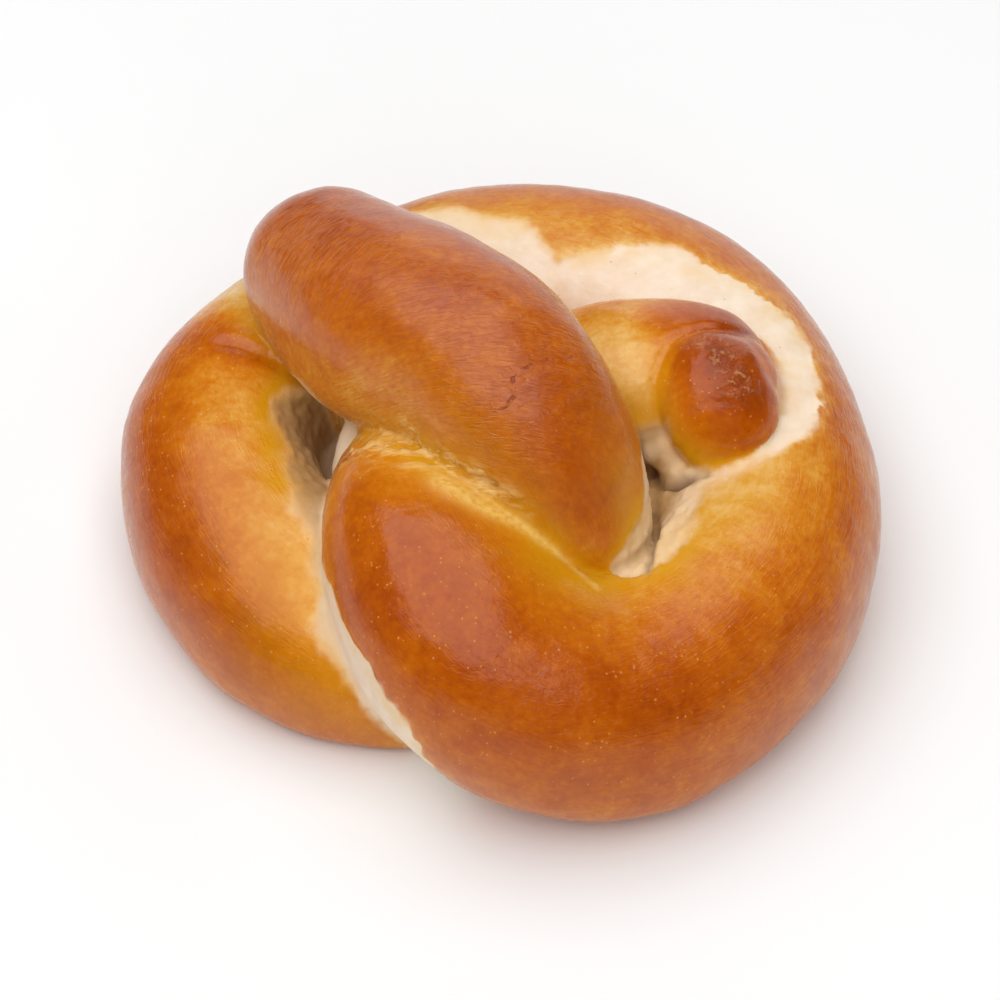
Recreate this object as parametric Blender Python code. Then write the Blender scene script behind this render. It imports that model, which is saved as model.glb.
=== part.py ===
"""A knotted bread roll: one rope of dough, tied round itself and baked into one piece.

The rope starts at a button end that pokes up inside the knot, turns round the front of it, runs once round
the outer ring, dives under its own front strand and comes up again to lie across the top, with its other
end free. The strands are swept tubes, joined into one solid and cut flat where the roll sat on the tray.

Metres, +Z up. The origin is on the tray, under the middle of the roll. +Y points to the back.
"""

import math

import bmesh
import bpy
import mathutils
import numpy as np

MM = 0.001

# The rope, from the button end to the free end. Each station is a point on its centreline, with the half
# width across the tray and the half height of the strand there, all in millimetres.
ROPE = (
    #   x      y      z    wide  high
    (37.0, 6.2, 24.2, 9.6, 9.6),  # button end
    (28.5, 10.0, 23.7, 11.0, 10.7),
    (17.0, 13.0, 20.8, 12.0, 12.0),  # comes out from under the top strand
    (0.0, 8.0, 14.5, 12.0, 12.0),  # middle of the knot
    (-10.5, -8.0, 21.0, 12.5, 12.0),  # turns up over the buried tail
    (-8.0, -24.3, 22.0, 15.0, 14.0),
    (0.8, -33.0, 17.3, 16.0, 15.0),  # front of the ring
    (14.5, -34.0, 12.4, 16.0, 15.0),
    (28.4, -24.3, 11.5, 15.6, 15.0),
    (36.8, -6.5, 11.5, 15.5, 15.5),  # right side
    (35.0, 13.0, 11.5, 15.5, 15.5),
    (26.0, 31.0, 11.5, 15.0, 15.5),
    (12.5, 39.4, 11.5, 15.0, 15.5),  # back of the ring
    (-4.0, 39.5, 11.5, 15.0, 15.0),
    (-21.2, 31.7, 10.5, 15.0, 15.0),
    (-34.6, 20.4, 10.5, 14.4, 15.0),
    (-39.3, 6.5, 10.5, 13.8, 15.0),  # left side
    (-34.4, -9.0, 10.5, 14.3, 14.5),
    (-24.0, -20.5, 8.0, 14.0, 12.5),
    (-10.0, -22.0, 3.5, 12.8, 8.2),  # buried under the front strand
    (4.0, -18.0, 6.5, 11.0, 10.0),
    (9.2, -13.3, 19.5, 10.8, 12.0),  # climbs out of the middle
    (4.6, -6.5, 31.0, 13.0, 14.0),
    (-4.0, 3.5, 36.0, 14.0, 15.0),  # crest of the top strand
    (-15.5, 13.5, 35.3, 14.3, 13.7),
    (-25.2, 25.6, 32.2, 11.5, 11.5),
    (-31.3, 33.0, 30.5, 10.2, 10.1),  # free end
)
BUTTON_TIP, FREE_TIP = 10.0, 9.5  # length over which each end of the rope rounds off

# Dough that swelled into the gaps, as stations like the rope's, and the length over which its tips round off.
CORE_TIP = 14.0  # fills the middle of the knot, down on the tray
CORE = ((-31, 3, 4, 20, 8), (-10, 1, 4, 25, 11), (10, 1, 4, 25, 11), (31, 3, 4, 20, 8))
BRIDGE_TIP = 8.0  # carries the top strand where it crosses the middle
BRIDGE = ((-20, 19, 17, 9, 12), (-8, 8, 19, 10, 13), (2, -2, 17, 9, 13), (9, -10, 12, 8, 12))
KNOB_TIP = 9.5  # the end of the rope, squeezed out into a ball that leans forward
KNOB = ((28.9, -2.6, 20.2, 8.4, 8.5), (30.3, 5.4, 27, 8.4, 8.5), (31.4, 12.9, 33.1, 8.4, 8.5))
FOLD_TIP = 3.0  # a lip of dough pinched out under the knob
FOLD = ((19.6, 6.5, 24, 2.2, 2.2), (21.3, 2.4, 22, 2.8, 2.8), (24.2, -0.8, 21.4, 2.4, 2.4), (28.2, -2, 22.6, 1.6, 1.6))
WALL_TIP = 4.0  # the ring's inner side, pressed against the top strand
WALL = ((25, 8, 13, 5, 6), (25, -1, 14, 6, 7), (22.6, -10.5, 15, 6, 7), (17.5, -18, 14, 5, 6))
SHOULDER_TIP = 3.0  # shows in the gap on the left, beside the front strand
SHOULDER = ((-17.2, 6, 24.5, 2.6, 2.6), (-19.6, 1.8, 22.6, 2.8, 2.8), (-21.4, -4, 19, 2.4, 2.4))

SQUARENESS = 2.3  # 2 would make each strand's section an ellipse
RING_STEP = 4.2  # spacing of the sections along a strand
TIP_SECTIONS = 6  # sections that round off each end
ROPE_SIDES = 38
FILL_SIDES = 20
SWELL = 0.022  # how far the strand's thickness wanders, as a share

CREASE_ANGLE = math.radians(40)

CRUST = (0.46, 0.17, 0.035)
CRUST_ROUGHNESS = 0.35


def clear_scene():
    for obj in list(bpy.data.objects):
        bpy.data.objects.remove(obj)


def natural_spline(knots, values, at):
    """The natural cubic spline through values at knots, read at the places in at."""
    count, gaps = len(knots), np.diff(knots)
    system = np.eye(count)
    right = np.zeros_like(values)
    for i in range(1, count - 1):
        system[i, i - 1 : i + 2] = gaps[i - 1], 2 * (gaps[i - 1] + gaps[i]), gaps[i]
        slopes = (values[i + 1] - values[i]) / gaps[i] - (values[i] - values[i - 1]) / gaps[i - 1]
        right[i] = 6 * slopes
    bend = np.linalg.solve(system, right)
    span = np.clip(np.searchsorted(knots, at) - 1, 0, count - 2)
    gap = gaps[span][:, None]
    before = (knots[span + 1] - at)[:, None]
    after = (at - knots[span])[:, None]
    curve = (bend[span] * before**3 + bend[span + 1] * after**3) / (6 * gap)
    curve += (values[span] / gap - bend[span] * gap / 6) * before
    return curve + (values[span + 1] / gap - bend[span + 1] * gap / 6) * after


def read_along(stations, places):
    """Rows of x, y, z, half width and half height at distances along the strand, and its length."""
    stations = np.array(stations, float)
    chords = np.linalg.norm(np.diff(stations[:, :3], axis=0), axis=1)
    knots = np.concatenate([[0], np.cumsum(np.sqrt(chords))])
    fine = natural_spline(knots, stations, np.linspace(0, knots[-1], 4000))
    travelled = np.concatenate([[0], np.cumsum(np.linalg.norm(np.diff(fine[:, :3], axis=0), axis=1))])
    if places is None:
        return travelled[-1]
    return np.stack([np.interp(places, travelled, column) for column in fine.T], axis=1)


def section_places(length, tip):
    """Distances along a strand for its sections: bunched up where each tip rounds off."""
    turn = np.linspace(0, math.pi / 2, TIP_SECTIONS + 1)[1:]
    start = tip * (1 - np.cos(turn))
    middle = np.linspace(tip, length - tip, max(2, round((length - 2 * tip) / RING_STEP)))
    return np.concatenate([start[:-1], middle, length - start[-2::-1]])


def wander(places, around):
    """A slow unevenness of the strand's thickness, so that no stretch is a true tube."""
    along = places[:, None]
    waves = np.sin(along / 13 + 2 * around) + np.sin(along / 21 - 3 * around + 1)
    return 1 + SWELL / 2 * (waves + np.sin(along / 7.5 + around + 2))


def strand(name, stations, start_tip, end_tip, sides, swell=True):
    """One closed strand of dough, swept along its stations with a rounded oblong section."""
    length = read_along(stations, None)
    places = section_places(length, max(start_tip, end_tip))
    rows = read_along(stations, places)
    path = rows[:, :3]
    tangent = np.gradient(path, places, axis=0)
    tangent /= np.linalg.norm(tangent, axis=1)[:, None]
    side = np.cross(tangent, (0, 0, 1))
    side /= np.linalg.norm(side, axis=1)[:, None]
    up = np.cross(side, tangent)

    from_start = np.clip(places / start_tip, 0, 1)
    from_end = np.clip((length - places) / end_tip, 0, 1)
    dome = np.sqrt(1 - (1 - from_start) ** 2) * np.sqrt(1 - (1 - from_end) ** 2)
    around = np.linspace(0, 2 * math.pi, sides, endpoint=False)
    power = SQUARENESS
    reach = (np.abs(np.cos(around)) ** power + np.abs(np.sin(around)) ** power) ** (-1 / power)
    size = dome[:, None] * reach * (wander(places, around) if swell else 1)
    across = (rows[:, 3:4] * size * np.cos(around))[..., None] * side[:, None]
    upward = (rows[:, 4:5] * size * np.sin(around))[..., None] * up[:, None]
    points = (path[:, None] + across + upward) * MM

    ends = read_along(stations, np.array([0, length]))[:, :3] * MM
    made = bmesh.new()
    rings = [[made.verts.new(point) for point in ring] for ring in points]
    poles = [made.verts.new(end) for end in ends]
    for ring, following in zip(rings, rings[1:]):
        for i in range(sides):
            j = (i + 1) % sides
            made.faces.new((ring[i], ring[j], following[j], following[i]))
    for pole, ring in zip(poles, (rings[0], rings[-1])):
        for i in range(sides):
            made.faces.new((pole, ring[i], ring[(i + 1) % sides]))
    bmesh.ops.recalc_face_normals(made, faces=made.faces)
    mesh = bpy.data.meshes.new(name)
    made.to_mesh(mesh)
    made.free()
    return bpy.data.objects.new(name, mesh)


def join_strands(rope, fills):
    """Joins the rope, where it crosses itself, and the dough that fills its gaps into one body."""
    group = bpy.data.collections.new("fills")
    bpy.context.scene.collection.children.link(group)
    for fill in fills:
        group.objects.link(fill)
    union = rope.modifiers.new("Join", "BOOLEAN")
    union.operation = "UNION"
    union.operand_type = "COLLECTION"
    union.collection = group
    union.solver = "EXACT"
    union.use_self = True
    bpy.context.view_layer.update()
    joined = bpy.data.meshes.new_from_object(rope.evaluated_get(bpy.context.evaluated_depsgraph_get()))
    rope.modifiers.remove(union)
    rope.data = joined
    for fill in fills:
        bpy.data.objects.remove(fill)
    bpy.data.collections.remove(group)


def largest_body(made):
    """Drops the loose scraps that joining leaves, keeping the body with the most faces."""
    left, bodies = set(made.verts), []
    while left:
        body, edge = set(), [left.pop()]
        while edge:
            vert = edge.pop()
            body.add(vert)
            near = {other for link in vert.link_edges for other in link.verts} & left
            left -= near
            edge.extend(near)
        bodies.append(body)
    bodies.sort(key=len)
    for body in bodies[:-1]:
        bmesh.ops.delete(made, geom=list(body), context="VERTS")


def cut_flat_base(rope):
    """Cuts the roll level where it sat on the tray, and closes the cut."""
    made = bmesh.new()
    made.from_mesh(rope.data)
    largest_body(made)
    everything = made.verts[:] + made.edges[:] + made.faces[:]
    bmesh.ops.bisect_plane(made, geom=everything, plane_co=(0, 0, 0), plane_no=(0, 0, 1), clear_inner=True)
    rim = [edge for edge in made.edges if edge.is_boundary]
    bmesh.ops.triangle_fill(made, edges=rim, use_dissolve=False)
    bmesh.ops.recalc_face_normals(made, faces=made.faces)
    made.to_mesh(rope.data)
    made.free()


def stand_on_origin(rope):
    """Moves the roll, without turning it, so that the origin is under the middle of its outline."""
    corners = np.array(rope.bound_box)
    middle = (corners.min(axis=0) + corners.max(axis=0)) / 2
    rope.data.transform(mathutils.Matrix.Translation((-middle[0], -middle[1], 0)))


def crust_material():
    material = bpy.data.materials.new("crust")
    material.use_nodes = True
    shader = material.node_tree.nodes["Principled BSDF"]
    shader.inputs["Base Color"].default_value = (*CRUST, 1)
    shader.inputs["Roughness"].default_value = CRUST_ROUGHNESS
    shader.inputs["Metallic"].default_value = 0
    return material


def build():
    clear_scene()
    roll = strand("pretzel_knot", ROPE, BUTTON_TIP, FREE_TIP, ROPE_SIDES)
    bpy.context.scene.collection.objects.link(roll)
    fills = [
        strand("core", CORE, CORE_TIP, CORE_TIP, FILL_SIDES, swell=False),
        strand("bridge", BRIDGE, BRIDGE_TIP, BRIDGE_TIP, FILL_SIDES, swell=False),
        strand("knob", KNOB, KNOB_TIP, KNOB_TIP, FILL_SIDES, swell=False),
        strand("fold", FOLD, FOLD_TIP, FOLD_TIP, FILL_SIDES, swell=False),
        strand("wall", WALL, WALL_TIP, WALL_TIP, FILL_SIDES, swell=False),
        strand("shoulder", SHOULDER, SHOULDER_TIP, SHOULDER_TIP, FILL_SIDES, swell=False),
    ]
    join_strands(roll, fills)
    cut_flat_base(roll)
    stand_on_origin(roll)
    roll.data.materials.clear()
    roll.data.materials.append(crust_material())
    roll.data.shade_smooth()
    roll.data.set_sharp_from_angle(angle=CREASE_ANGLE)


build()
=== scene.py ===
"""The looks of a knotted bread roll: a rope of dough tied round itself, egg-washed and baked to a gloss."""

import math

import bpy
import numpy as np
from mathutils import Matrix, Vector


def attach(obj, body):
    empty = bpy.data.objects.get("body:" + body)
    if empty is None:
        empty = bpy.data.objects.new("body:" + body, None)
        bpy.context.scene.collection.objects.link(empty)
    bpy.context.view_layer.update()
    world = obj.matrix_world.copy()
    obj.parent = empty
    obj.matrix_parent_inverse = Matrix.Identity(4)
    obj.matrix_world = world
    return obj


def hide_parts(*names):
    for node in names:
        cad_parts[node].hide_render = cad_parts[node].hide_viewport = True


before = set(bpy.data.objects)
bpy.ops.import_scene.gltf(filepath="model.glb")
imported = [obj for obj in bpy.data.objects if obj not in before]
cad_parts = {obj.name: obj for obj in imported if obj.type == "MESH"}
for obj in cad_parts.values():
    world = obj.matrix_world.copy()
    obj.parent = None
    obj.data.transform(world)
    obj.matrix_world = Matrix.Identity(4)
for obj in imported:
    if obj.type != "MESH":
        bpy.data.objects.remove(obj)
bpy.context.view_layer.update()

# ---------------------------------------------------------------------------------------------------------
# The rope of dough. It is rolled by hand, thick in its middle and thin at its ends, and tied while soft:
# from the button end it passes under the top strand, turns round the front, runs once round the ring,
# dives under its own front and comes up through the middle to lie across the top with its end free.
# ---------------------------------------------------------------------------------------------------------

MM = 0.001
KNOT_MIDDLE = np.array((-0.3, 2.1, 0.0))  # middle of the knot's outline, from where its stations are counted

ROPE = (
    #   x      y      z    half width and half height, millimetres
    (37.0, 6.2, 24.2, 9.6, 9.6),  # button end
    (28.5, 10.0, 23.7, 11.0, 10.7),
    (17.0, 13.0, 20.8, 12.0, 12.0),  # comes out from under the top strand
    (0.0, 8.0, 14.5, 12.0, 12.0),  # middle of the knot
    (-10.5, -8.0, 21.0, 12.5, 12.0),  # turns up over the buried stretch
    (-8.0, -24.3, 22.0, 15.0, 14.0),
    (0.8, -33.0, 17.3, 16.0, 15.0),  # front of the ring
    (14.5, -34.0, 12.4, 16.0, 15.0),
    (28.4, -24.3, 11.5, 15.6, 15.0),
    (36.8, -6.5, 11.5, 15.5, 15.5),  # right side
    (35.0, 13.0, 11.5, 15.5, 15.5),
    (26.0, 31.0, 11.5, 15.0, 15.5),
    (12.5, 39.4, 11.5, 15.0, 15.5),  # back of the ring
    (-4.0, 39.5, 11.5, 15.0, 15.0),
    (-21.2, 31.7, 10.5, 15.0, 15.0),
    (-34.6, 20.4, 10.5, 14.4, 15.0),
    (-39.3, 6.5, 10.5, 13.8, 15.0),  # left side
    (-34.4, -9.0, 10.5, 14.3, 14.5),
    (-24.0, -20.5, 8.0, 14.0, 12.5),
    (-10.0, -22.0, 3.5, 12.8, 8.2),  # buried under the front
    (4.0, -18.0, 6.5, 11.0, 10.0),
    (9.2, -13.3, 19.5, 10.8, 12.0),  # climbs out of the middle
    (4.6, -6.5, 31.0, 13.0, 14.0),
    (-4.0, 3.5, 36.0, 14.0, 15.0),  # crest of the top strand
    (-15.5, 13.5, 35.3, 14.3, 13.7),
    (-25.2, 25.6, 32.2, 11.5, 11.5),
    (-31.3, 33.0, 30.5, 10.2, 10.1),  # free end
)
ROPE_TIPS = (10.0, 9.5)  # length over which each end rounds off
SQUARENESS = 2.3  # 2 would make the rope's section an ellipse
SWELL = 0.022  # how far its thickness wanders, as a share

# Dough that rose into the gaps, as stations like the rope's, and the length over which its tips round off.
KNOB_TIP = 9.5  # the end of the rope, squeezed out into a ball that leans forward
KNOB = ((28.9, -2.6, 20.2, 8.4, 8.5), (30.3, 5.4, 27.0, 8.4, 8.5), (31.4, 12.9, 33.1, 8.4, 8.5))
CORE_TIP = 14.0  # fills the middle of the knot, down on the tray
CORE = ((-31, 3, 4, 20, 8), (-10, 1, 4, 25, 11), (10, 1, 4, 25, 11), (31, 3, 4, 20, 8))
BRIDGE_TIP = 8.0  # carries the top strand where it crosses the middle
BRIDGE = ((-20, 19, 17, 9, 12), (-8, 8, 19, 10, 13), (2, -2, 17, 9, 13), (9, -10, 12, 8, 12))
FOLD_TIP = 3.0  # a lip of dough pinched out under the button
FOLD = (
    (19.6, 6.5, 24, 2.2, 2.2), (21.3, 2.4, 22, 2.8, 2.8),
    (24.2, -0.8, 21.4, 2.4, 2.4), (28.2, -2, 22.6, 1.6, 1.6),
)
WALL_TIP = 4.0  # the ring's inner side, pressed against the top strand
WALL = ((25, 8, 13, 5, 6), (25, -1, 14, 6, 7), (22.6, -10.5, 15, 6, 7), (17.5, -18, 14, 5, 6))
SHOULDER_TIP = 3.0  # shows in the gap on the left, beside the front
SHOULDER = ((-17.2, 6, 24.5, 2.6, 2.6), (-19.6, 1.8, 22.6, 2.8, 2.8), (-21.4, -4, 19, 2.4, 2.4))

SECTION_STEP = 0.7  # spacing of the sections along a strand
FINE_STEPS = 4000  # steps in which a strand's length is measured


def natural_spline(knots, values, at):
    """The natural cubic spline through values at knots, read at the places in at."""
    count, gaps = len(knots), np.diff(knots)
    system = np.eye(count)
    right = np.zeros_like(values)
    for i in range(1, count - 1):
        system[i, i - 1 : i + 2] = gaps[i - 1], 2 * (gaps[i - 1] + gaps[i]), gaps[i]
        slopes = (values[i + 1] - values[i]) / gaps[i] - (values[i] - values[i - 1]) / gaps[i - 1]
        right[i] = 6 * slopes
    bend = np.linalg.solve(system, right)
    span = np.clip(np.searchsorted(knots, at) - 1, 0, count - 2)
    gap = gaps[span][:, None]
    before = (knots[span + 1] - at)[:, None]
    after = (at - knots[span])[:, None]
    curve = (bend[span] * before**3 + bend[span + 1] * after**3) / (6 * gap)
    curve += (values[span] / gap - bend[span] * gap / 6) * before
    return curve + (values[span + 1] / gap - bend[span + 1] * gap / 6) * after


def run_of(stations, spacing):
    """A strand read at even steps: distance along it, centre, half sizes, and its sideways, upward and
    forward ways.

    The centreline is a spline through the stations. Sideways is level and square to the run of the strand,
    and upward is square to both."""
    stations = np.array(stations, float)
    chords = np.linalg.norm(np.diff(stations[:, :3], axis=0), axis=1)
    knots = np.concatenate([[0], np.cumsum(np.sqrt(chords))])
    fine = natural_spline(knots, stations, np.linspace(0, knots[-1], FINE_STEPS))
    travelled = np.concatenate([[0], np.cumsum(np.linalg.norm(np.diff(fine[:, :3], axis=0), axis=1))])
    along = np.linspace(0, travelled[-1], max(8, round(travelled[-1] / spacing)))
    rows = np.stack([np.interp(along, travelled, column) for column in fine.T], axis=1)
    ahead = np.gradient(rows[:, :3], along, axis=0)
    ahead /= np.linalg.norm(ahead, axis=1)[:, None]
    side = np.cross(ahead, (0, 0, 1))
    side /= np.linalg.norm(side, axis=1)[:, None]
    return along, rows[:, :3], rows[:, 3:], side, np.cross(side, ahead), ahead


def rounding(along, tips):
    """How far a strand has closed at its ends, from 0 to 1: a quarter circle over the length of each tip."""
    from_start = np.clip(along / tips[0], 0, 1)
    from_end = np.clip((along[-1] - along) / tips[1], 0, 1)
    return np.sqrt(1 - (1 - from_start) ** 2) * np.sqrt(1 - (1 - from_end) ** 2)


def sweep(stations, tips, sides, swell):
    """Points and faces of one strand, swept along its stations.

    At angle a its section reaches (|cos a|^p + |sin a|^p)^(-1/p) times the half width sideways by cos a,
    and the half height upwards by sin a: an oval, a little square. Each end closes as a quarter circle."""
    along, centre, half, side, up, _ = run_of(stations, SECTION_STEP)
    turn = np.linspace(0, 2 * math.pi, sides, endpoint=False)
    reach = (np.abs(np.cos(turn)) ** SQUARENESS + np.abs(np.sin(turn)) ** SQUARENESS) ** (-1 / SQUARENESS)
    row = along[:, None]
    waves = np.sin(row / 13 + 2 * turn) + np.sin(row / 21 - 3 * turn + 1) + np.sin(row / 7.5 + turn + 2)
    size = rounding(along, tips)[:, None] * reach * (1 + swell / 2 * waves)
    points = centre[:, None] + (half[:, :1] * size * np.cos(turn))[..., None] * side[:, None]
    points += (half[:, 1:] * size * np.sin(turn))[..., None] * up[:, None]
    ring, place = np.meshgrid(np.arange(len(along) - 1), np.arange(sides), indexing="ij")
    following = (place + 1) % sides
    corners = (ring * sides + place, ring * sides + following)
    corners += ((ring + 1) * sides + following, (ring + 1) * sides + place)
    return points.reshape(-1, 3), np.stack(corners, axis=-1).reshape(-1, 4)


def mesh_from(name, points, faces):
    """A mesh of four-sided faces, its points given in millimetres from the knot's middle."""
    mesh = bpy.data.meshes.new(name)
    mesh.vertices.add(len(points))
    mesh.vertices.foreach_set("co", ((points - KNOT_MIDDLE) * MM).ravel())
    mesh.loops.add(faces.size)
    mesh.loops.foreach_set("vertex_index", faces.ravel())
    mesh.polygons.add(len(faces))
    mesh.polygons.foreach_set("loop_start", np.arange(0, faces.size, 4))
    mesh.update(calc_edges=True)
    return mesh


STRANDS = (
    # stations, lengths of the two tips, sides of the section, swell
    (ROPE, ROPE_TIPS, 200, SWELL),
    (KNOB, (KNOB_TIP, KNOB_TIP), 90, 0),
    (CORE, (CORE_TIP, CORE_TIP), 200, 0),
    (BRIDGE, (BRIDGE_TIP, BRIDGE_TIP), 90, 0),
    (FOLD, (FOLD_TIP, FOLD_TIP), 60, 0),
    (WALL, (WALL_TIP, WALL_TIP), 60, 0),
    (SHOULDER, (SHOULDER_TIP, SHOULDER_TIP), 60, 0),
)
ON_ROPE, ON_KNOB, ON_CORE, ON_BRIDGE, ON_FOLD, ON_WALL, ON_SHOULDER = range(len(STRANDS))
all_points, all_faces, used = [], [], 0
for stations, tips, sides, swell in STRANDS:
    points, faces = sweep(stations, tips, sides, swell)
    all_points.append(points)
    all_faces.append(faces + used)
    used += len(points)
points = np.concatenate(all_points)
points[:, 2] = np.maximum(points[:, 2], 0)  # the dough sits flat on the tray
roll = bpy.data.objects.new("knotted_roll", mesh_from("knotted_roll", points, np.concatenate(all_faces)))
bpy.context.scene.collection.objects.link(roll)

# ---------------------------------------------------------------------------------------------------------
# The baked roll. In the oven the strands swell against each other and join wherever they touch, which
# rounds the creases between them, so from here on the roll is one skin of dough.
# ---------------------------------------------------------------------------------------------------------

SKIN_STEP = 0.56 * MM  # spacing of the skin's points
MOST_TRIANGLES = 190000


def applied(piece):
    """Makes the shape that the piece's modifiers give its own mesh."""
    bpy.context.view_layer.update()
    done = bpy.data.meshes.new_from_object(piece.evaluated_get(bpy.context.evaluated_depsgraph_get()))
    piece.modifiers.clear()
    piece.data = done


joined = roll.modifiers.new("Join", "REMESH")
joined.mode = "VOXEL"
joined.voxel_size = SKIN_STEP
softened = roll.modifiers.new("Soften", "SMOOTH")
softened.factor = 0.5
softened.iterations = 3
applied(roll)
thinned = roll.modifiers.new("Thin", "DECIMATE")
thinned.ratio = min(1, MOST_TRIANGLES / (2 * len(roll.data.polygons)))
applied(roll)
roll.data.shade_smooth()


def skin_points(piece):
    """Its points in millimetres, counted from the knot's middle as the stations are, and their normals."""
    found = np.empty(len(piece.data.vertices) * 3, np.float32)
    piece.data.vertices.foreach_get("co", found)
    outward = np.empty_like(found)
    piece.data.vertices.foreach_get("normal", outward)
    return found.reshape(-1, 3) / MM + KNOT_MIDDLE, outward.reshape(-1, 3).astype(float)


skin, normals = skin_points(roll)

PLACE_STEP = 1.5  # spacing of the places on a strand, millimetres
THINNEST = 0.15  # how thin a strand's tip may count as
AT_ONCE = 6000  # points placed at a time, to save memory


def place_on(stations, tips, skin):
    """How each point of the skin lies on a strand: the distance along it, the two ways off its centreline
    as shares of its half sizes, and how far out it is, which is 1 on the strand's own surface.

    A point belongs to the place whose centre is nearest, counted in half sizes."""
    along, centre, half, side, up, ahead = run_of(stations, PLACE_STEP)
    half = half * np.maximum(rounding(along, tips), THINNEST)[:, None]
    found = np.empty((len(skin), 4))
    for start in range(0, len(skin), AT_ONCE):
        some = skin[start : start + AT_ONCE]
        away = some[:, None] - centre[None]
        near = np.argmin((away**2).sum(axis=2) / (half[:, 0] * half[:, 1]), axis=1)
        away = away[np.arange(len(some)), near]
        across = (away * side[near]).sum(axis=1) / half[near, 0]
        upward = (away * up[near]).sum(axis=1) / half[near, 1]
        beyond = (away * ahead[near]).sum(axis=1)
        out = (np.abs(across) ** SQUARENESS + np.abs(upward) ** SQUARENESS) ** (1 / SQUARENESS)
        past = np.maximum(np.abs(beyond) - PLACE_STEP, 0) / half[near, 0]
        placed = np.stack((along[near] + beyond, across, upward, np.hypot(out, past)), axis=1)
        found[start : start + AT_ONCE] = placed
    return found


places = np.stack([place_on(stations, tips, skin) for stations, tips, _, _ in STRANDS])
owner = np.argmin(places[..., 3], axis=0)  # the strand that each point of the skin lies on
on_rope, on_knob, on_filling = owner == ON_ROPE, owner == ON_KNOB, owner > ON_KNOB
along = places[ON_ROPE, :, 0]
around = (np.degrees(np.arctan2(places[ON_ROPE, :, 2], places[ON_ROPE, :, 1])) + 90) % 360 - 90
BLENDING = 0.025  # how softly one strand goes over into the next, in half sizes
closeness = np.exp(-(places[..., 3] - places[..., 3].min(axis=0)) / BLENDING)
closeness /= closeness.sum(axis=0)
GIRTH = 14.0 * math.pi / 180  # millimetres round the rope for each degree
round_mm = around * GIRTH

edges = np.empty(len(roll.data.edges) * 2, np.int32)
roll.data.edges.foreach_get("vertices", edges)
edge_from, edge_to = edges.reshape(-1, 2).T
neighbours = np.bincount(edges, minlength=len(skin))


def eased(values, times):
    """Values blended with those of their neighbours on the skin, half and half, a number of times over."""
    for _ in range(times):
        total = np.bincount(edge_from, values[edge_to], len(skin))
        total += np.bincount(edge_to, values[edge_from], len(skin))
        values = 0.5 * values + 0.5 * total / neighbours
    return values


# Creases are where the skin goes over from one strand to another, or to a far stretch of the same one.
FAR_ALONG = 6
crossed = (owner[edge_from] != owner[edge_to]) | (np.abs(along[edge_from] - along[edge_to]) > FAR_ALONG)
creased = np.zeros(len(skin))
creased[edge_from[crossed]] = creased[edge_to[crossed]] = 1
crease_line = np.clip(2.4 * eased(creased, 2), 0, 1)
near_crease = np.clip(4 * eased(creased, 8), 0, 1)

# ---------------------------------------------------------------------------------------------------------
# The crust. Egg wash browns where the oven's heat reached it, most on top; where two strands slid apart as
# they rose, bare dough shows. Places on the rope are given as millimetres along it and degrees round it:
# on the ring 0 is the outer side, 90 the top and 180 the inner side.
# ---------------------------------------------------------------------------------------------------------

# The line where the crust ends on the inner side of the ring, and bare dough begins.
INNER_EDGE = (
    (96, 250), (104, 190), (109, 135), (112, 116), (119, 109), (131, 118), (139, 121), (144, 99), (149, 76),
    (156, 60), (165, 57), (173, 62), (178, 70), (184, 82), (190, 88), (197, 106), (204, 119), (207, 106),
    (210, 92), (214, 88), (219, 76), (224, 66), (236, 80), (246, 150), (262, 132), (279, 124), (287, 112),
    (294, 104), (299, 84), (303, 58), (307, 42), (311, 22), (316, -30),
)
# The line below which the front's outer side is bare, where it lay against the left of the ring.
FRONT_EDGE = ((48, 40), (60, 24), (72, 14), (79, 17), (84, 13), (88, 2), (94, -38), (100, -90))
# The same on the right of the top strand, where it comes up through the middle.
CLIMB_EDGE = ((326, 120), (342, 100), (348, 78), (352, 56), (357, 36), (366, 8), (385, -15), (412, -60))
# On its left, over the gap.
GAP_EDGE = ((352, 250), (366, 222), (380, 206), (395, 205), (412, 240))
# And under the neck, between the button and where it passes under the top strand.
NECK_EDGE = ((-8, 220), (4, 186), (12, 168), (20, 160), (34, 184))


def bell(distance, width):
    """1 at no distance, falling off on both sides as exp(-(distance / width)^2)."""
    return np.exp(-((distance / width) ** 2))


def crust_before(edge, way):
    """Millimetres of crust left before an edge, whose angle runs straight between its points. Way is 1 where
    bare dough lies at larger angles than the edge, and -1 where at smaller. Negative on bare dough."""
    table = np.array(edge, float)
    left = (np.interp(along, table[:, 0], table[:, 1]) - around) * way * GIRTH
    off_end = np.maximum(table[0, 0] - along, along - table[-1, 0])
    return np.where(off_end > 0, np.maximum(left, off_end), left)


def from_line(*points):
    """Millimetres from each point of the skin to a line through the points given."""
    nearest = np.full(len(skin), 1e9)
    for start, end in zip(np.array(points[:-1], float), np.array(points[1:], float)):
        run = end - start
        share = np.clip((skin - start) @ run / (run @ run), 0, 1)
        nearest = np.minimum(nearest, np.linalg.norm(skin - start - share[:, None] * run, axis=1))
    return nearest


chance = np.random.default_rng(7)


def lumps(shortest, longest, count=26):
    """Uneven ground, about -1 to 1: waves of the given lengths in millimetres, each in a way of its own."""
    height = np.zeros(len(skin))
    for _ in range(count):
        way = chance.normal(size=3)
        way /= np.linalg.norm(way)
        length = math.exp(chance.uniform(math.log(shortest), math.log(longest)))
        height += np.sin(skin @ way * 2 * math.pi / length + chance.uniform(0, 2 * math.pi))
    return height / math.sqrt(count)


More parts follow.
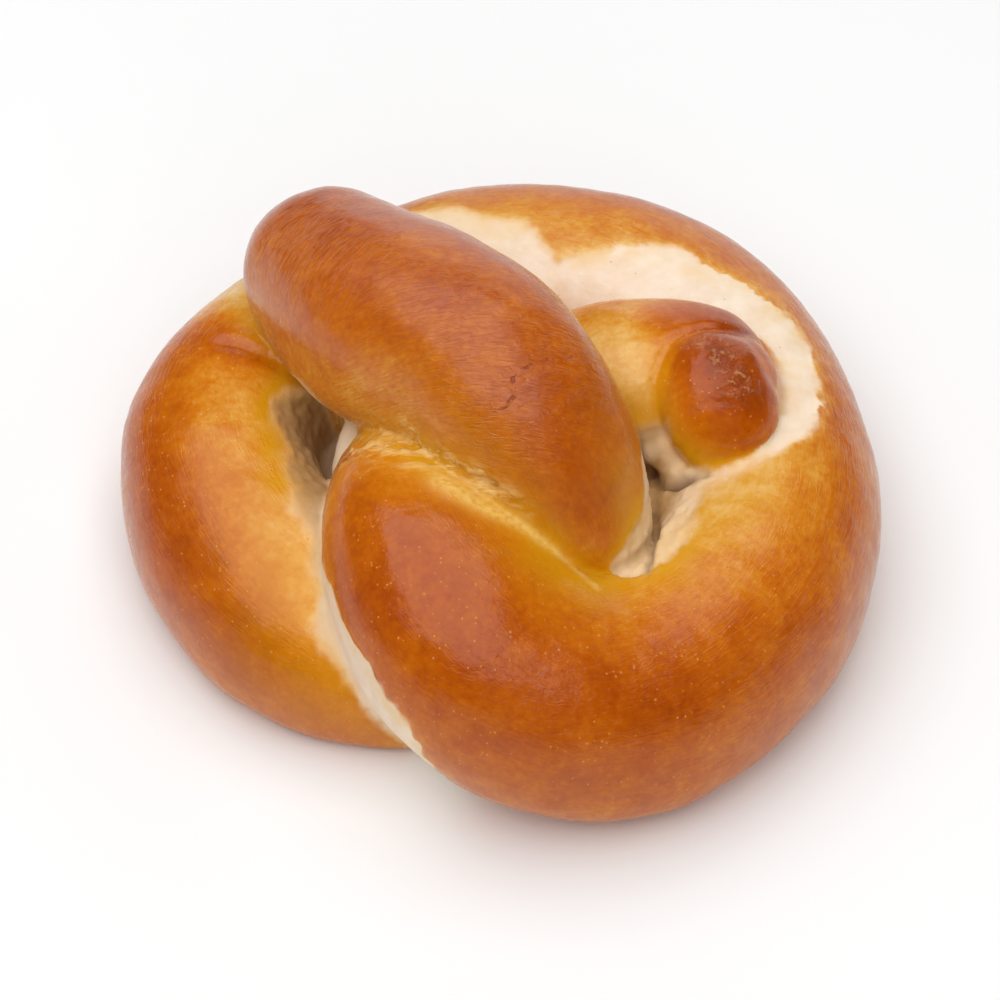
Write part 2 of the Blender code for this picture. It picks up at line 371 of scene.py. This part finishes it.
BALL = ((29.2, 5.2, 29.4), (30.4, 1.5, 28.4))  # the button, a ball of dough drawn out from here to here
BALL_RADIUS = 8.3
ball_mm = BALL_RADIUS - from_line(*BALL)
by_button = along < 30  # the end of the rope that the button and its neck take up
BUTTON_SIDE = 38.9  # the button end is crusted to here, and bare where it meets the ring
KNOB_CRUSTED = 29  # the knob is crusted above this height too
FURTHEST = 9  # distances from the crust's edge are counted up to this

rope_mm = np.minimum(crust_before(INNER_EDGE, 1), crust_before(FRONT_EDGE, -1))
rope_mm = np.minimum(rope_mm, np.minimum(crust_before(CLIMB_EDGE, -1), crust_before(GAP_EDGE, 1)))
rope_mm = np.minimum(rope_mm, crust_before(NECK_EDGE, 1))
rope_mm += (0.7 * lumps(6, 16) + 0.3 * lumps(2, 5)) * np.clip(1.5 - np.abs(rope_mm) / 6, 0, 1)
button_mm = np.minimum(np.maximum(rope_mm, ball_mm), BUTTON_SIDE - skin[:, 0])
rope_mm = np.where(by_button, button_mm, rope_mm)
knob_mm = np.maximum(ball_mm, skin[:, 2] - KNOB_CRUSTED)

# Of the dough that rose into the gaps, only the bridge under the top strand got a thin crust.
crust_mm = closeness[ON_ROPE] * np.clip(rope_mm, -FURTHEST, FURTHEST)
crust_mm += closeness[ON_KNOB] * np.clip(knob_mm, -FURTHEST, FURTHEST)
crust_mm += 2 * closeness[ON_BRIDGE] - 4 * closeness[[ON_CORE, ON_FOLD, ON_WALL, ON_SHOULDER]].sum(axis=0)
crust_mm = eased(crust_mm, 5)


def dab(middle, angle, length, girth):
    """One soft touch on the rope, 1 at its middle and falling off as a bell over its length and girth."""
    return bell(along - middle, length) * bell((around - angle) * GIRTH, girth) * on_rope


def dabs(rows):
    """Touches added up. A row is how strong its touch is, then where it lies and how far it reaches."""
    return sum(strength * dab(*place) for strength, *place in rows)


# How the wash browned round the rope: the angle where it is darkest, how far that spreads, how dark it is
# there, and how pale it stays on the inner side, from 0 for raw dough to 1 for nearly burnt.
BROWNED = (
    # along, darkest, spread, most, least
    (0, 70, 50, 0.80, 0.40),
    (7, 68, 45, 0.84, 0.42),
    (12, 60, 40, 0.72, 0.36),
    (18, 50, 40, 0.46, 0.33),
    (58, 40, 50, 0.50, 0.42),
    (68, 50, 60, 0.62, 0.42),
    (78, 66, 66, 0.84, 0.46),
    (90, 66, 62, 0.80, 0.44),
    (104, 48, 58, 0.80, 0.42),
    (125, 44, 58, 0.72, 0.28),
    (145, 38, 42, 0.64, 0.34),
    (175, 42, 34, 0.64, 0.38),
    (200, 50, 34, 0.70, 0.42),
    (216, 46, 34, 0.64, 0.42),
    (250, 50, 46, 0.58, 0.34),
    (272, 44, 44, 0.78, 0.38),
    (286, 42, 46, 0.86, 0.42),
    (300, 28, 40, 0.76, 0.32),
    (312, 12, 30, 0.56, 0.20),
    (346, 90, 60, 0.56, 0.28),
    (354, 86, 66, 0.82, 0.44),
    (366, 80, 80, 0.76, 0.54),
    (386, 80, 85, 0.76, 0.52),
    (404, 95, 70, 0.80, 0.46),
)
OUTER_BROWN = 0.60  # on the ring's outer side, down to the tray
at, darkest, spread, most, least = np.array(BROWNED).T
far_round = (around - np.interp(along, at, darkest)) / np.interp(along, at, spread)
darkest_brown = np.interp(along, at, most)
paler = np.where(far_round > 0, np.interp(along, at, least), np.minimum(OUTER_BROWN, darkest_brown))
browning = paler + (darkest_brown - paler) * bell(far_round, 1)

# Touches on top of that: how much darker, then where along and round, and their length and girth.
TOUCHES = (
    (-0.07, 284, 88, 17, 6),  # pale inner side of the left of the ring
    (-0.32, 247, 70, 8, 10),  # under the free end
    (-0.28, 360, 16, 14, 5),  # right side of the top strand
    # Painted shade: darker under the fold in the left of the ring.
    (0.30, 258, 96, 3, 9),
    (-0.12, 62, 100, 7, 8),  # beside the front's crease
    (-0.10, 141, 104, 9, 6),
    (-0.16, 349, 66, 6, 4),
    (-0.16, 366, 176, 7, 5),
    (-0.10, 379, 163, 11, 6),
    (0.08, 389, 142, 10, 6),
    (0.06, 366, 142, 9, 6),
)
browning += dabs(TOUCHES)
on_ball = np.clip(ball_mm / 0.8 + 0.6, 0, 1) * (on_knob | (on_rope & by_button))
cap_mm = from_line((31.2, 5.5, 37), (32.5, 0.5, 34.5))  # the button's browned top
ball_brown = 0.50 + 0.47 * bell(cap_mm, 8.5)
browning += (ball_brown - browning) * on_ball
FILLING_BROWN = 0.34
browning = np.where(on_filling, FILLING_BROWN, browning)
neck_top = from_line((23, 14.5, 34), (32, 12.5, 33.5))
browning += 0.15 * bell(neck_top, 4.5) * (1 - on_ball)

# The crevice on the right, between the top strand and the ring's inner side, and the gap on the left.
CREVICE = ((21.4, -5.3, 20.5), (21.2, -9.8, 21.6), (20.9, -16.6, 23.5), (20, -20.6, 25), (19.4, -24.3, 26.2))
crevice = from_line(*CREVICE)
by_crevice = bell(crevice, 8)
by_gap = np.interp(along, (250, 258, 284, 292), (0, 1, 1, 0)) * on_rope
under_neck = on_rope & (along < 34) & (around > 110)
by_neck_edge = np.clip(0.8 - crust_mm / 2, 0, 1) * under_neck

# Where the egg wash pooled, in creases and along edges, it dried yellow. Round the crevice the yellow on the
# bare dough is also painted warm bounce light.
POOLS = (
    (0.9, 100, 122, 20, 5),  # inner side of the front
    (0.5, 354, 146, 16, 5),
    (0.7, 349, 70, 8, 5),
    (0.6, 274, 127, 12, 4),
    (0.6, 64, 100, 8, 6),
    (0.6, 140, 108, 12, 5),
    (0.4, 306, 40, 9, 10),
    (0.8, 361, 22, 15, 6),
    (0.8, 15, 165, 8, 8),  # under the neck
    (0.4, 222, 104, 9, 9),
    (0.4, 298, 92, 14, 8),
)
pooled_wash_and_bounce = dabs(POOLS)
pooled_wash_and_bounce += 0.9 * np.clip((cap_mm - 7.5) / 4, 0, 1) * on_ball  # round the foot of the ball
in_front = np.clip((skin[:, 2] - 22) / 6, 0, 1) * np.clip((18 - skin[:, 0]) / 6, 0, 1) * on_rope
front_crease = np.where((along > 345) | ((along > 50) & (along < 120)), creased * in_front, 0)
pooled_wash_and_bounce += np.clip(7 * eased(front_crease, 70), 0, 1)
# Painted light: round the crevice the bare dough is also made warmer, as bounce light would make it.
pooled_wash_and_bounce += 0.9 * by_crevice * np.clip(1.2 - crust_mm / 4, 0, 1)
pooled_wash_and_bounce += by_gap * np.clip(1.3 - np.abs(crust_mm - 1.2) / 3, 0, 1) * np.clip(0.8 + 0.6 * lumps(5, 12), 0, 1)
pooled_wash_and_bounce += 0.8 * by_neck_edge

# Bare dough is whitest where it opened late and last. Deeper in the gaps, in the crevice's crease and under
# the neck it is darkened to tan: painted shade.
painted_gap_shade = on_filling * np.clip((27 - skin[:, 2]) / 9, 0, 1) * np.where(skin[:, 0] < 0, 0.6, 1)
gap_shade_along = np.interp(along, (242, 250, 288, 296, 304), (0, 1, 1, 0.5, 0.2))
painted_gap_shade += gap_shade_along * np.clip(0.7 - crust_mm / 1.5, 0, 1) * on_rope
painted_gap_shade += 0.05 * by_crevice + 0.6 * crease_line * by_crevice
painted_gap_shade += 0.45 * by_neck_edge

# Fine wrinkles run along the rope. On the top strand they swing round towards its free end until they
# cross it: slant is 0 where they run along it, 1 half way round, 2 where they cross it.
slant = np.where(on_rope, np.interp(along - 0.12 * round_mm, (345, 362, 380, 396), (0, 1, 1.3, 2)), 0)
wrinkling = np.interp(along, (26, 50, 345, 355), (0.06, 0.25, 0.25, 0.85)) * on_rope
wrinkling += 0.9 * dab(160, 15, 40, 14) + 0.6 * dab(205, 30, 40, 12) - 0.2 * dab(76, 66, 14, 10)
wrinkling *= 1 - near_crease

# Along the rope the crust's edge is torn sharp where it is 0, and fades out softly where it is 1.
soft_edge = np.interp(along, (20, 34, 120, 128, 146, 152), (1, 0, 0, 0.6, 0.6, 0))
soft_edge += np.interp(along, (190, 204, 236, 256, 312, 326, 345), (0, 0.25, 0.2, 1, 0.9, 0.4, 0.55))
soft_edge = np.where(on_rope, soft_edge, 0.2)

# The front, where the top strand tore away from it, is stretched into strings.
TEAR = ((-18, -7, 31.5), (-13.3, -9.8, 34.2), (-7.9, -12.4, 36.2), (-3.9, -16, 36.8), (4, -20.8, 34.5))
torn_width = 2.6 + 1.0 * lumps(4, 9) - 0.12 * (skin[:, 0] + 10)
tearing = np.clip(1.3 * bell(from_line(*TEAR), np.clip(torn_width, 0.8, 4)), 0, 1)
tearing *= np.clip((6 - skin[:, 0]) / 6, 0, 1)

# ---------------------------------------------------------------------------------------------------------
# Relief. Baking leaves the dough a little lumpy, with cracks and folds where it was pulled. It is built up
# as millimetres outwards from the skin, and dies away at the foot, where the dough lies on the tray.
# ---------------------------------------------------------------------------------------------------------

# Cracks in the skin of the top strand.
CRACKS = (
    ((1.4, -9.4, 47.2), (2.6, -7.9, 47.8), (3.2, -7.7, 47.9), (4.6, -6.5, 47.8), (9.2, -4.5, 46.4)),
    ((-0.9, -12.7, 44.8), (0.7, -12.3, 45.4), (2.0, -10.9, 46.4)),
    ((6.8, -5.9, 47.3), (7.6, -8.2, 46.8), (9.4, -9.4, 45.6)),
)
cracks = np.min([from_line(*line) for line in CRACKS], axis=0)

LONG_LUMPS, SHORT_LUMPS = 0.14, 0.03
relief = LONG_LUMPS * lumps(9, 26) + SHORT_LUMPS * lumps(3, 7)
crumbly = lumps(1.3, 3.5, 40)

# The crust's edge stands a little proud of the bare dough.
CRUST_STEP = 0.28
relief += CRUST_STEP * np.clip(crust_mm / 0.9 + 0.5, 0, 1)

# The button sits in a crease of its own, with a scar on top where the rope's end was pinched off.
BALL_RISE, BALL_CREASE = 0.45, 0.55
SCAR_CRUMBS, SCAR_PINCH = 0.2, 0.5
near_ball = (on_knob | (on_rope & by_button)) * np.clip((skin[:, 2] - 22) / 3, 0, 1)
relief += (BALL_RISE * np.clip(ball_mm / 2, 0, 1) - BALL_CREASE * bell(ball_mm + 0.2, 0.7)) * near_ball
scar = from_line((27.4, 8.6, 35), (29.9, 5.9, 35.7), (32.5, 1.6, 34.3))
pinch = from_line((27.6, 8.4, 35.2), (28.6, 7.6, 35.5))
relief += SCAR_CRUMBS * crumbly * bell(scar, 2.0) - SCAR_PINCH * bell(pinch, 0.8)

# Torn dough where the top strand lifts off the front, with one deep pit.
TORN_CRUMBS, PIT_DEPTH = 0.16, 1.3
pit = from_line((-2.4, -17.4, 36.4), (-1, -18.2, 36.2))
relief += TORN_CRUMBS * crumbly * tearing - PIT_DEPTH * bell(pit, 0.75)

# A fold in the left of the ring, beside the free end.
RIDGE_RISE, GROOVE_DEPTH = 0.25, 0.4
relief += RIDGE_RISE * bell(from_line((-40, 19.4, 25), (-36.5, 18.8, 25.5), (-31.5, 16.4, 25.1)), 1.2)
relief -= GROOVE_DEPTH * bell(from_line((-39, 17.2, 25), (-36.5, 16.6, 25.4), (-31, 14, 25)), 1.0)

# A lip of dough pinched out under the button, over the crevice on the right and its puckered far wall.
LIP = ((19.3, 1.3, 26.5), (20.3, -0.1, 23.3), (21.6, -1.4, 21.5), (23.3, -2.9, 21.5), (27.5, -5.5, 24.2))
UNDER_LIP = ((20.6, -0.8, 19.6), (21.4, -3.6, 20.5), (22.6, -5.4, 21.5), (24.6, -5.6, 22), (28, -6.2, 24.4))
LIP_RISE, SLIT_DEPTH, PUCKERS = 0.7, 1.0, 0.2
under_lip = from_line(*UNDER_LIP)
off_top_strand = np.where(on_rope & (along > 300), 0, 1)
# The slits are sunk into the skin, and their colour is painted dark as painted shade.
slits_and_shade = off_top_strand * bell(under_lip, 0.75) + 0.8 * bell(crevice, 0.5)
relief += LIP_RISE * bell(from_line(*LIP), 1.5) * (1 - bell(under_lip, 1.0)) * off_top_strand
relief -= SLIT_DEPTH * slits_and_shade + 0.3 * crease_line * by_crevice
relief += PUCKERS * crumbly * np.clip(1 - crust_mm, 0, 1) * np.maximum(by_crevice, 0.7 * by_gap)

# A pale string of dough, drawn out along the front's crease, and thinner towards its right end.
STRING = ((-7.5, -17, 35.9), (-1.7, -20.4, 34.9), (2, -21.4, 33.1), (8.8, -24.4, 28.3), (12.7, -27.9, 27.6))
STRING_RISE = 0.2
string_width = np.interp(skin[:, 0], (-8, 2, 12), (1.9, 1.1, 0.7))
pale_string = bell(from_line(*STRING), string_width) * on_rope
relief += STRING_RISE * pale_string

relief *= np.clip(skin[:, 2] / 2, 0, 1)
skin_moved = skin + relief[:, None] * normals
roll.data.vertices.foreach_set("co", ((skin_moved - KNOT_MIDDLE) * MM).ravel())
roll.data.update()


def field(name, values):
    """Keeps a number or a vector for each point of the roll, for its material to read."""
    kind, key = ("FLOAT_VECTOR", "vector") if values.ndim == 2 else ("FLOAT", "value")
    layer = roll.data.attributes.new(name, kind, "POINT")
    layer.data.foreach_set(key, values.astype(np.float32).ravel())


field("crust_mm", np.clip(crust_mm, -20, 20))
field("browning", eased(browning, 6))
field("tearing", tearing)
field("grain", np.stack((round_mm, along, np.where(on_knob, 50, 0)), axis=1))
field("slant", slant)
field("soft_edge", np.clip(eased(soft_edge, 4), 0, 1))
field("pale_string", pale_string)
field("slits_and_shade", np.clip(slits_and_shade, 0, 1))
field("scarred", bell(scar, 1.8) * (on_knob | by_button))
field("painted_gap_shade", np.clip(eased(painted_gap_shade, 3), 0, 1))
field("pooled_wash_and_bounce", np.clip(eased(pooled_wash_and_bounce, 3), 0, 1))
field("crack_mm", np.clip(cracks, 0, 10))
field("wrinkling", np.clip(wrinkling, 0, 1.2))

# ---------------------------------------------------------------------------------------------------------
# The finish. Brushed egg wash bakes to a thin brown glaze with blisters, wrinkles and a soft gloss. Where
# the skin tore, the bare dough under it is cream-coloured and matt, with pores.
# ---------------------------------------------------------------------------------------------------------

BLISTER_COLOUR = (0.80, 0.38, 0.07, 1)
DRIED_WASH = (0.66, 0.30, 0.003, 1)
STRETCHED_DOUGH = (0.84, 0.55, 0.15, 1)
TORN_STRINGS = (0.90, 0.60, 0.22, 1)
SCAR_COLOUR = (0.84, 0.40, 0.15, 1)
NICK_COLOUR = (0.30, 0.13, 0.02, 1)
PORE_COLOUR = (0.45, 0.30, 0.18, 1)
SOAKED_DOUGH = (0.84, 0.58, 0.27, 1)  # bare dough that the wash ran into
WASHED_DOUGH = (0.84, 0.57, 0.26, 1)
# Painted shade for bare dough deep in the gaps and crevices.
SHADED_DOUGH = (0.42, 0.235, 0.08, 1)
# Painted shade in the slits.
SLIT_SHADE_COLOUR = (0.14, 0.07, 0.025, 1)

crust = bpy.data.materials.new("baked_crust")
crust.use_nodes = True
tree = crust.node_tree
shader = tree.nodes["Principled BSDF"]


def add(kind, inputs=(), **settings):
    """A node of the crust's material. An input given as a socket is linked, any other is set."""
    made = tree.nodes.new("ShaderNode" + kind)
    for name, setting in settings.items():
        setattr(made, name, setting)
    for key, given in dict(inputs).items():
        if isinstance(given, bpy.types.NodeSocket):
            tree.links.new(given, made.inputs[key])
        else:
            made.inputs[key].default_value = given
    return made


def sum_of(*terms):
    """Adds up sockets, each times its own number, and plain numbers."""
    total = 0.0
    for term in terms:
        if isinstance(term, tuple):
            made = add("Math", {0: term[0], 1: term[1], 2: total}, operation="MULTIPLY_ADD")
        else:
            made = add("Math", {0: total, 1: term}, operation="ADD")
        total = made.outputs[0]
    return total


def product(first, second):
    """One value times another. Either may be a plain number."""
    return add("Math", {0: first, 1: second}, operation="MULTIPLY").outputs[0]


def stepped(value, low, high, at_low=0.0, at_high=1.0):
    """Runs smoothly from at_low to at_high as the value goes from low to high."""
    inputs = {"Value": value, "From Min": low, "From Max": high, "To Min": at_low, "To Max": at_high}
    return add("MapRange", inputs, interpolation_type="SMOOTHSTEP").outputs["Result"]


def ramp(value, *stops):
    """A colour for each value. A stop is a value, then red, green and blue."""
    made = add("ValToRGB", {"Fac": value})
    while len(made.color_ramp.elements) < len(stops):
        made.color_ramp.elements.new(0.5)
    for element, (position, *colour) in zip(made.color_ramp.elements, stops):
        element.position = position
        element.color = (*colour, 1)
    return made.outputs["Color"]


def mixed(share, first, second):
    """The first colour where share is 0, the second where it is 1."""
    made = add("Mix", data_type="RGBA")
    for socket, given in zip([made.inputs[i] for i in (0, 6, 7)], (share, first, second)):
        if isinstance(given, bpy.types.NodeSocket):
            tree.links.new(given, socket)
        else:
            socket.default_value = given
    return made.outputs[2]


def noise(vector, size, detail=3.0, roughness=0.55, distortion=0.0):
    """Cloudy noise of about 0 to 1, whose largest lumps are size millimetres."""
    inputs = {"Vector": vector, "Scale": 1 / size, "Detail": detail, "Roughness": roughness}
    return add("TexNoise", {**inputs, "Distortion": distortion}).outputs["Fac"]


def specks(vector, spacing, radius, share):
    """Round specks, 1 at their middles, on a given share of places about the given spacing apart."""
    cells = add("TexVoronoi", {"Vector": vector, "Scale": 1 / spacing})
    dot = stepped(cells.outputs["Distance"], 0, radius / spacing, 1, 0)
    pick = add("SeparateColor", {"Color": cells.outputs["Color"]}).outputs["Red"]
    return product(dot, stepped(pick, 1 - share - 0.02, 1 - share + 0.02))


def read_field(name, output="Fac"):
    """What was kept for each point of the roll under this name."""
    return add("Attribute", attribute_name=name).outputs[output]


to_mm = {"Vector": add("TexCoord").outputs["Object"], "Scale": (1000, 1000, 1000)}
mm = add("Mapping", to_mm).outputs[0]
grain = read_field("grain", "Vector")


def fibres(turn, size):
    """Noise drawn out six times longer than wide, along the rope or turned from it by a number of degrees."""
    turned = add("Mapping", {"Vector": grain, "Rotation": (0, 0, math.radians(turn))}).outputs[0]
    drawn = add("Mapping", {"Vector": turned, "Scale": (1, 0.16, 1)}).outputs[0]
    return noise(drawn, size, 3, 0.6, 0.7)


blotch = noise(mm, 7)
mottle = noise(mm, 0.9, 4)

# Fine wrinkles, in three ways that go over into each other with the slant.
WRINKLE_WIDTH = 0.42
slanting = read_field("slant")
halfway = product(stepped(slanting, 0, 1), stepped(slanting, 1, 2, 1, 0))
streak = sum_of(
    (product(fibres(0, WRINKLE_WIDTH), stepped(slanting, 0, 1, 1, 0)), 1.0),
    (product(fibres(48, WRINKLE_WIDTH), halfway), 1.0),
    (product(fibres(92, WRINKLE_WIDTH), stepped(slanting, 1, 2)), 1.0),
)
wrinkling_here = read_field("wrinkling")

# How far the crust covers the dough, from 0 to 1. Its edge is ragged, and soft in places.
crust_left = sum_of((read_field("crust_mm"), 1.0), (noise(mm, 1.6, 3, 0.55), 1.4), -0.7)
softness = sum_of((stepped(noise(mm, 5, 2), 0.4, 0.62, 0.3, 1.6), 1.0), (read_field("soft_edge"), 2.8))
covered = stepped(add("Math", {0: crust_left, 1: softness}, operation="DIVIDE").outputs[0], -0.5, 0.7)
fringe = stepped(crust_left, 0.0, 2.4, 0.10, 0.0)

# Blisters, of which the wrinkled top strand has hardly any, then cracks and charred specks.
blistering = stepped(wrinkling_here, 0.35, 0.8, 1.0, 0.15)
blister = product(specks(mm, 0.9, 0.23, 0.5), stepped(noise(mm, 4, 2), 0.4, 0.6, 0.25, 1.0))
blister = product(blister, blistering)
big_blister = product(specks(mm, 2.3, 0.3, 0.35), blistering)
crack_line = sum_of((read_field("crack_mm"), 1.0), (noise(mm, 1.4, 3), 1.2), -0.6)
crack = stepped(add("Math", {0: crack_line}, operation="ABSOLUTE").outputs[0], 0.05, 0.3, 1, 0)
char = specks(mm, 3.1, 0.3, 0.12)

brown = sum_of(
    (read_field("browning"), 1.0), (blotch, 0.40), (noise(mm, 2.6, 3), 0.24), (mottle, 0.26), -0.48,
    # Along the wrinkles the crust goes darker and lighter: partly its own streaks, partly painted shade in
    # their valleys.
    (product(sum_of((streak, 1.0), -0.5), wrinkling_here), 0.30),
    (fringe, -1.0), (char, 0.16), (crack, 0.2),
)
crust_colour = ramp(
    brown,
    (0.00, 0.90, 0.74, 0.58),
    (0.12, 0.84, 0.58, 0.30),
    (0.25, 0.78, 0.46, 0.13),
    (0.38, 0.70, 0.31, 0.040),
    (0.50, 0.62, 0.195, 0.007),
    (0.62, 0.54, 0.130, 0.002),
    (0.74, 0.45, 0.088, 0.001),
    (0.86, 0.37, 0.060, 0.001),
    (1.00, 0.24, 0.035, 0.001),
)
crust_colour = mixed(product(blister, 0.75), crust_colour, BLISTER_COLOUR)
crust_colour = mixed(product(big_blister, 0.5), crust_colour, BLISTER_COLOUR)
wash = product(read_field("pooled_wash_and_bounce"), stepped(blotch, 0.35, 0.6, 0.5, 1.0))
crust_colour = mixed(wash, crust_colour, DRIED_WASH)
drawn_out = product(read_field("pale_string"), stepped(mottle, 0.3, 0.6, 0.3, 0.85))
crust_colour = mixed(drawn_out, crust_colour, STRETCHED_DOUGH)

# Strings and nicks where the top strand tore off the front, and crumbs in the button's scar.
across_tear = add("Mapping", {"Vector": mm, "Rotation": (0, 0, math.radians(33)), "Scale": (0.3, 1, 1)})
strings = stepped(noise(across_tear.outputs[0], 1.5, 4, 0.6, 0.4), 0.40, 0.66)
strings = product(strings, read_field("tearing"))
crust_colour = mixed(product(strings, 0.8), crust_colour, TORN_STRINGS)
crumbs = product(read_field("scarred"), stepped(noise(mm, 0.9, 4), 0.52, 0.66))
crust_colour = mixed(product(crumbs, 0.5), crust_colour, SCAR_COLOUR)
nick = product(specks(across_tear.outputs[0], 1.6, 0.3, 0.25), read_field("tearing"))
crust_colour = mixed(product(nick, 0.7), crust_colour, NICK_COLOUR)

# Bare dough: cream, yellow where the wash ran into it (round the crevice partly painted warm bounce light),
# then painted shade: tan deep in the gaps and dark in the slits.
dough_colour = ramp(noise(mm, 3.5, 4, 0.6), (0.3, 0.84, 0.65, 0.47), (0.62, 0.91, 0.77, 0.62))
pore = specks(mm, 1.8, 0.2, 0.3)
dough_colour = mixed(product(pore, 0.6), dough_colour, PORE_COLOUR)
soaked = product(stepped(crust_left, -5.5, 0.5), stepped(noise(mm, 6, 2), 0.40, 0.60, 0.15, 0.75))
dough_colour = mixed(soaked, dough_colour, SOAKED_DOUGH)
# On bare dough round the crevice this yellow is partly painted warm bounce light.
dough_colour = mixed(product(read_field("pooled_wash_and_bounce"), 0.6), dough_colour, WASHED_DOUGH)
# Painted shade: bare dough darkened to tan deep in the gaps, in the crevice and under the neck.
gap_shaded = product(read_field("painted_gap_shade"), stepped(noise(mm, 1.6, 4, 0.65), 0.3, 0.65, 1.0, 0.88))
dough_colour = mixed(gap_shaded, dough_colour, SHADED_DOUGH)
# Painted shade: the slits are coloured nearly black.
dough_colour = mixed(product(read_field("slits_and_shade"), 0.85), dough_colour, SLIT_SHADE_COLOUR)
colour = mixed(covered, dough_colour, crust_colour)
tree.links.new(colour, shader.inputs["Base Color"])
gloss = sum_of((covered, -0.47), (mottle, 0.06), (strings, 0.2), (read_field("scarred"), 0.15), 0.60)
tree.links.new(gloss, shader.inputs["Roughness"])

# The egg wash lies thickest on the top strand.
glaze = product(stepped(wrinkling_here, 0.4, 0.85, 0.0, 0.28), covered)
tree.links.new(glaze, shader.inputs["Coat Weight"])
shader.inputs["Coat Roughness"].default_value = 0.25
shader.inputs["Specular IOR Level"].default_value = 0.32
shader.inputs["Sheen Weight"].default_value = 0.07
shader.inputs["Sheen Roughness"].default_value = 0.35
shader.inputs["Sheen Tint"].default_value = (1.0, 0.74, 0.58, 1)

# Heights in millimetres of what is too fine for the mesh.
wrinkle = product(stepped(streak, 0.35, 0.6), product(wrinkling_here, covered))
height = sum_of(
    (wrinkle, 0.08), (product(mottle, read_field("scarred")), 0.8), (mottle, 0.03),
    (noise(mm, 0.35, 2), 0.014), (blister, 0.05), (big_blister, 0.06), (crack, -0.22),
    (pore, -0.08), (noise(mm, 2.2, 3), 0.09), (strings, 0.12), (nick, -0.2),
)
bump = add("Bump", {"Strength": 1.0, "Distance": MM, "Height": height})
tree.links.new(bump.outputs["Normal"], shader.inputs["Normal"])
roll.data.materials.clear()
roll.data.materials.append(crust)

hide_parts("pretzel_knot")
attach(roll, "root")

# ---------------------------------------------------------------------------------------------------------
# The studio: a white paper table under one wide soft light, with a lower one behind the roll, and three
# weak fills that lighten the shadows.
# ---------------------------------------------------------------------------------------------------------

ROOM_LIGHT = 0.04  # faint light from all round
world = bpy.data.worlds.new("studio")
bpy.context.scene.world = world
world.use_nodes = True
world.node_tree.nodes["Background"].inputs["Color"].default_value = (1, 1, 1, 1)
world.node_tree.nodes["Background"].inputs["Strength"].default_value = ROOM_LIGHT

REACH = 3.0  # half the table's side, metres
table_mesh = bpy.data.meshes.new("table")
table_corners = [(-REACH, -REACH, 0), (REACH, -REACH, 0), (REACH, REACH, 0), (-REACH, REACH, 0)]
table_mesh.from_pydata(table_corners, [], [(0, 1, 2, 3)])
table = bpy.data.objects.new("table", table_mesh)
bpy.context.scene.collection.objects.link(table)
paper = bpy.data.materials.new("white_paper")
paper.use_nodes = True
paper.node_tree.nodes["Principled BSDF"].inputs["Base Color"].default_value = (0.92, 0.92, 0.92, 1)
paper.node_tree.nodes["Principled BSDF"].inputs["Roughness"].default_value = 0.9
table.data.materials.append(paper)


def softbox(name, place, size, power, seen=True, aim=(0, 0, 0.02)):
    """A soft light, turned to face the roll. An unseen one fills shadows without its own gleam."""
    light = bpy.data.objects.new(name, bpy.data.lights.new(name, "AREA"))
    light.data.shape = "RECTANGLE"
    light.data.size, light.data.size_y = size
    light.data.energy = power
    light.location = place
    towards = light.location - Vector(aim)
    light.rotation_euler = towards.to_track_quat("Z", "Y").to_euler()
    light.visible_camera = False
    light.visible_glossy = seen
    bpy.context.scene.collection.objects.link(light)


softbox("overhead_softbox", (-0.1, 0.0, 0.72), (1.08, 0.92), 6.9)
softbox("back_softbox", (0.28, 1.1, 0.22), (1.0, 1.0), 3.4)
softbox("front_fill", (0.1, -0.9, 0.5), (0.8, 0.8), 3.0, seen=False)
softbox("left_fill", (-0.9, -0.1, 0.4), (0.8, 0.8), 1.2, seen=False)
softbox("right_fill", (0.9, 0, 0.4), (0.8, 0.8), 1.6, seen=False)

# The camera looks down at the roll from the front, halfway up.
LENS = 120.0
SENSOR = 36.0
PICTURE = 1000  # its width in pixels
PIXELS_PER_MM = 7.14
ELEVATION = math.radians(50)
AIM_HEIGHT = 12.1
aim = (np.array((0, 0, AIM_HEIGHT)) - KNOT_MIDDLE) * MM
distance = LENS / SENSOR * PICTURE / PIXELS_PER_MM * MM
camera = bpy.data.objects.new("camera", bpy.data.cameras.new("camera"))
camera.data.lens = LENS
camera.data.clip_start = 0.01
camera.location = aim + distance * np.array((0, -math.cos(ELEVATION), math.sin(ELEVATION)))
camera.rotation_euler = (math.pi / 2 - ELEVATION, 0, 0)
bpy.context.scene.collection.objects.link(camera)
bpy.context.scene.camera = camera
bpy.context.scene.view_settings.view_transform = "Standard"
